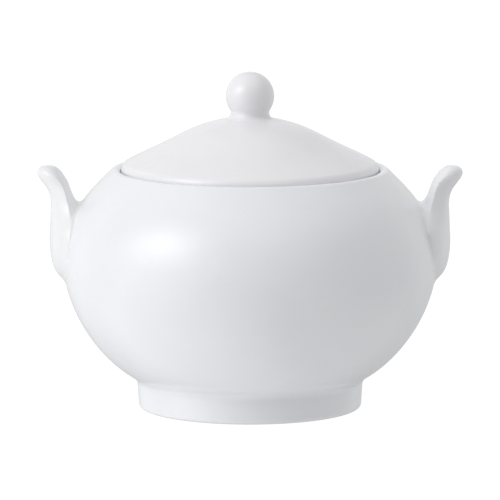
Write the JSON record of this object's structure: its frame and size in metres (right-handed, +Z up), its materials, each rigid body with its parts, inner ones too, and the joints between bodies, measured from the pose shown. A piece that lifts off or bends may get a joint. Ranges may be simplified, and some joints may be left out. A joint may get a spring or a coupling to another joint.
{
  "type": "covered sugar bowl",
  "caption": "Round-bellied covered sugar bowl in white glazed china, with a turned foot ring, upright lug handles and a domed lift-off lid with a ball knob.",
  "frame": {"origin": "centre of the foot ring's resting face, on the table", "axes": "+Z up through the knob; X through the two lug handles; the bowl looks the same from +Y and -Y"},
  "size_m": [0.1362, 0.12, 0.1084],
  "materials": {
    "bowl_glaze": "clear glaze over white bone china, soft gloss",
    "lid_glaze": "clear glaze over white bone china, soft gloss"
  },
  "bodies": {
    "bowl": {"bowl_body": "bowl_glaze", "foot_ring": "bowl_glaze", "handle_left": "bowl_glaze", "handle_right": "bowl_glaze"},
    "lid": {"lid_cover": "lid_glaze", "lid_locating_ring": "lid_glaze", "lid_knob": "lid_glaze"}
  },
  "joints": [
    {"name": "lid_lift", "type": "slide", "parent": "bowl", "child": "lid", "axis": [0, 0, 1], "range_m": [0, 0.06]}
  ]
}
